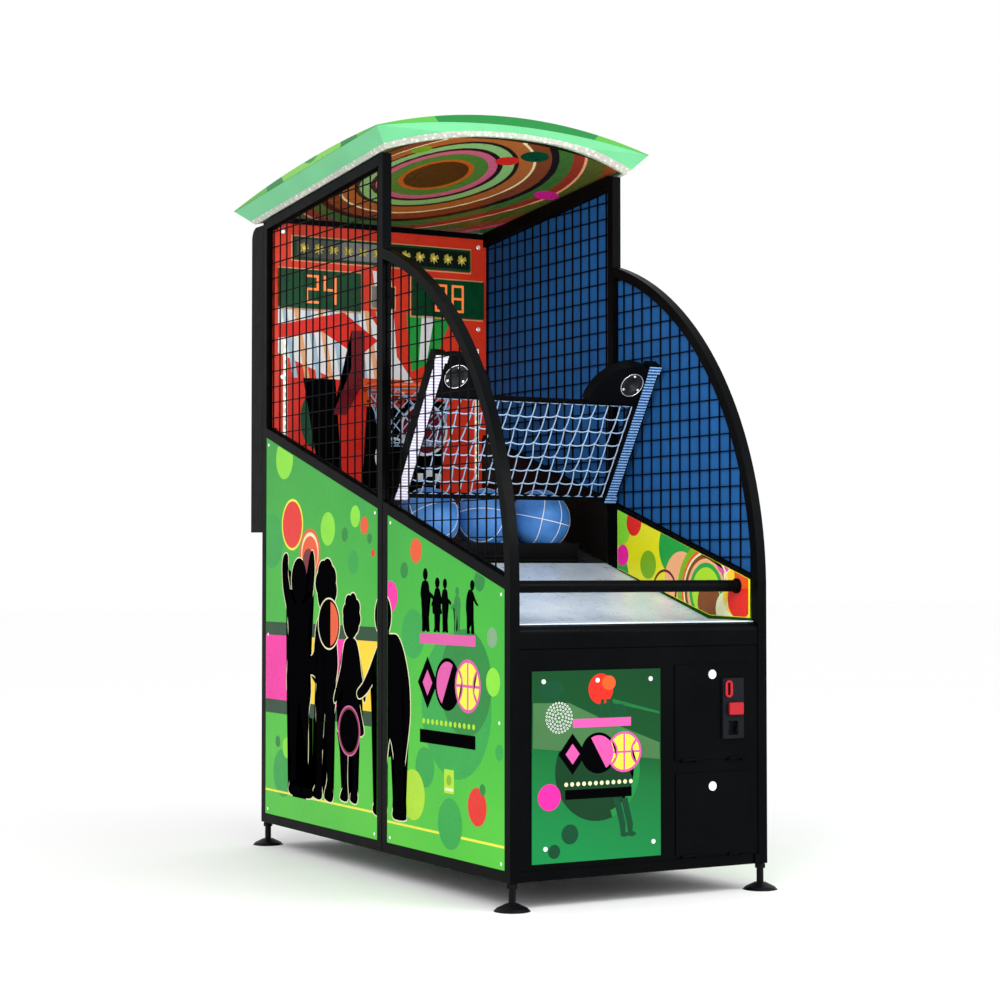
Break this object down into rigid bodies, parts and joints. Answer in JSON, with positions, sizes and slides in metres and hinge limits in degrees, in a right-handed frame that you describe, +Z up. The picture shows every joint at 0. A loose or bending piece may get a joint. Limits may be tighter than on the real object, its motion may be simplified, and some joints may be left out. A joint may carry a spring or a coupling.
{
  "type": "basketball hoop machine",
  "caption": "Arcade basketball machine with arched mesh sides, sloping ball deck, lit canopy, scoring backboard, coin and cash doors.",
  "frame": {"origin": "middle of the footprint at floor level", "axes": "front faces -Y, +X is to the right seen from the front, +Z is up"},
  "size_m": [0.968, 1.8262, 2.3066],
  "materials": {
    "frame_black": "satin",
    "graphic_green": "gloss print laminate",
    "mesh_wire": "satin",
    "blue_sheet": "satin",
    "inner_print": "gloss print laminate",
    "black_board": "black laminate",
    "deck_metal": "patterned, satin",
    "ramp_black": "ribbed",
    "gate_black": "satin",
    "machinery": "cast, satin",
    "ball_blue": "pebbled",
    "board_red": "gloss print",
    "display_dark": "gloss",
    "led_white": "diffusing, lit",
    "rim_orange": "gloss",
    "cord_white": "braided cord",
    "lens_clear": "diffusing, lit",
    "pod_black": "textured",
    "speaker_grey": "satin",
    "roof_green": "gloss print",
    "fascia_mint": "diffusing, lit",
    "trim_white": "diffusing, lit",
    "ceiling_print": "gloss print",
    "window_print": "gloss acrylic, printed behind",
    "bright_metal": "polished",
    "bezel_black": "fine texture",
    "button_red": "gloss",
    "circuit_green": "solder mask",
    "foot_black": "painted"
  },
  "bodies": {
    "cabinet": {"front_frame": "frame_black", "rear_frame": "frame_black", "arc_tubes": "frame_black", "panel_front": "graphic_green", "panel_rear": "graphic_green", "mesh_left": "mesh_wire", "mesh_right": "mesh_wire", "screen_right": "blue_sheet", "inner_panels": "inner_print", "cheeks": "black_board", "deck": "deck_metal", "deck_lip": "frame_black", "hand_rail": "frame_black", "ball_ramp": "ramp_black", "gate_motor": "machinery", "backboard": "board_red", "message_strip": "display_dark", "time_display": "display_dark", "score_display": "display_dark", "led_strips": "led_white", "hoop_rim": "rim_orange", "hoop_bracket": "rim_orange", "hoop_net": "cord_white", "net_bars": "frame_black", "ball_net": "cord_white", "light_channels": "frame_black", "light_lenses": "lens_clear", "speaker_pods": "pod_black", "speakers": "speaker_grey", "canopy_shell": "roof_green", "canopy_fascia": "fascia_mint", "canopy_trim": "trim_white", "canopy_ceiling": "ceiling_print", "back_panel": "frame_black", "base_board": "black_board", "rear_box": "frame_black", "power_inlet": "bezel_black", "power_supply": "machinery", "control_board": "circuit_green", "front_fascia": "frame_black", "window": "window_print", "window_screws": "bright_metal", "cash_box": "machinery"},
    "coin_door": {"coin_door": "frame_black", "coin_bezel": "bezel_black", "coin_mech": "machinery"},
    "coin_lock": {"coin_lock": "bright_metal"},
    "reject_button": {"reject_button": "button_red"},
    "cash_door": {"cash_door": "frame_black"},
    "cash_lock": {"cash_lock": "bright_metal"},
    "rear_door": {"rear_door": "frame_black"},
    "rear_lock": {"rear_lock": "bright_metal"},
    "ball_gate": {"ball_gate": "gate_black"},
    "ball_1": {"ball_1": "ball_blue"},
    "ball_2": {"ball_2": "ball_blue"},
    "ball_3": {"ball_3": "ball_blue"},
    "foot_fl": {"foot_fl": "foot_black"},
    "foot_fr": {"foot_fr": "foot_black"},
    "foot_rl": {"foot_rl": "foot_black"},
    "foot_rr": {"foot_rr": "foot_black"}
  },
  "joints": [
    {"name": "coin_door_hinge", "type": "hinge", "parent": "cabinet", "child": "coin_door", "pos_m": [0.233, -0.8816, 0.381], "axis": [1, 0, 0], "range_deg": [0, 88]},
    {"name": "coin_lock_turn", "type": "hinge", "parent": "coin_door", "child": "coin_lock", "pos_m": [0.233, -0.8791, 0.619], "axis": [0, 1, 0], "range_deg": [0, 90]},
    {"name": "reject_press", "type": "slide", "parent": "coin_door", "child": "reject_button", "axis": [0, 1, 0], "range_m": [0, 0.004], "stiffness_N_per_m": 300},
    {"name": "cash_door_hinge", "type": "hinge", "parent": "cabinet", "child": "cash_door", "pos_m": [0.233, -0.8816, 0.113], "axis": [1, 0, 0], "range_deg": [0, 88]},
    {"name": "cash_lock_turn", "type": "hinge", "parent": "cash_door", "child": "cash_lock", "pos_m": [0.233, -0.8791, 0.304], "axis": [0, 1, 0], "range_deg": [0, 90]},
    {"name": "rear_door_hinge", "type": "hinge", "parent": "cabinet", "child": "rear_door", "pos_m": [-0.403, 0.8909, 1.56], "axis": [0, 0, 1], "range_deg": [0, 110]},
    {"name": "rear_lock_turn", "type": "hinge", "parent": "rear_door", "child": "rear_lock", "pos_m": [0.365, 0.8873, 1.6], "axis": [0, 1, 0], "range_deg": [0, 90]},
    {"name": "ball_gate_turn", "type": "hinge", "parent": "cabinet", "child": "ball_gate", "pos_m": [0, 0.0039, 0.9431], "axis": [1, 0, 0], "range_deg": [0, 88]},
    {"name": "ball_1_lift", "type": "slide", "parent": "cabinet", "child": "ball_1", "axis": [0, 0, 1], "range_m": [0, 0.3]},
    {"name": "ball_2_lift", "type": "slide", "parent": "cabinet", "child": "ball_2", "axis": [0, 0, 1], "range_m": [0, 0.3]},
    {"name": "ball_3_lift", "type": "slide", "parent": "cabinet", "child": "ball_3", "axis": [0, 0, 1], "range_m": [0, 0.3]},
    {"name": "foot_fl_adjust", "type": "slide", "parent": "cabinet", "child": "foot_fl", "axis": [0, 0, -1], "range_m": [0, 0.025]},
    {"name": "foot_fr_adjust", "type": "slide", "parent": "cabinet", "child": "foot_fr", "axis": [0, 0, -1], "range_m": [0, 0.025]},
    {"name": "foot_rl_adjust", "type": "slide", "parent": "cabinet", "child": "foot_rl", "axis": [0, 0, -1], "range_m": [0, 0.025]},
    {"name": "foot_rr_adjust", "type": "slide", "parent": "cabinet", "child": "foot_rr", "axis": [0, 0, -1], "range_m": [0, 0.025]}
  ]
}
